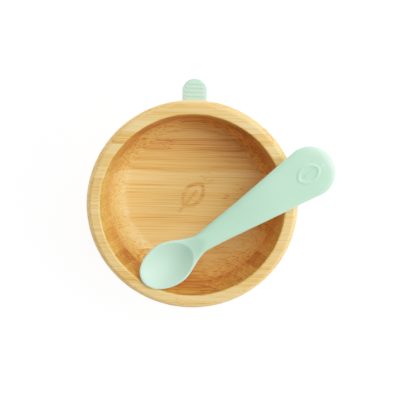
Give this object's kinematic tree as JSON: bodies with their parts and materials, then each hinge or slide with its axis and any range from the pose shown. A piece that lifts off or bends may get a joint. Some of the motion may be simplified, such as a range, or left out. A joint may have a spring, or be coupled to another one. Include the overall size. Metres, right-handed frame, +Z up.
{
  "type": "suction bowl",
  "caption": "Turned bamboo weaning bowl on a silicone suction base with a pull tab, and a silicone spoon lying across the rim.",
  "frame": {"origin": "bottom centre of the whole object's bounding box, on the table plane; the bowl's own vertical axis stands at x = -0.010240, y = -0.004000", "axes": "+Z up from the table, +Y from the bowl towards the pull tab, +X to the side where the spoon's handle overhangs the rim"},
  "size_m": [0.1454, 0.133, 0.061],
  "materials": {
    "bamboo": "satin, food-safe oil over turned bamboo",
    "base_silicone": "soft matte silicone",
    "spoon_silicone": "soft matte silicone"
  },
  "bodies": {
    "suction_lip": {"suction_skirt": "base_silicone"},
    "suction_cup": {"suction_collar": "base_silicone"},
    "tab": {"pull_tab": "base_silicone"},
    "bowl": {"bamboo_bowl": "bamboo"},
    "spoon": {"feeding_spoon": "spoon_silicone"}
  },
  "joints": [
    {"name": "cup_press", "type": "slide", "parent": "suction_lip", "child": "suction_cup", "axis": [0, 0, -1], "range_m": [0, 0.0015], "stiffness_N_per_m": 1500, "springref_m": -0.003, "deforming": ["suction_skirt"]},
    {"name": "tab_lift", "type": "hinge", "parent": "suction_lip", "child": "tab", "pos_m": [-0.01024, 0.0402, 0.0019], "axis": [1, 0, 0], "range_deg": [0, 55], "stiffness_Nm_per_rad": 0.002},
    {"name": "bowl_lift", "type": "slide", "parent": "suction_cup", "child": "bowl", "axis": [0, 0, 1], "range_m": [0, 0.06]},
    {"name": "spoon_lift", "type": "slide", "parent": "bowl", "child": "spoon", "axis": [0, 0, 1], "range_m": [0, 0.1]}
  ]
}
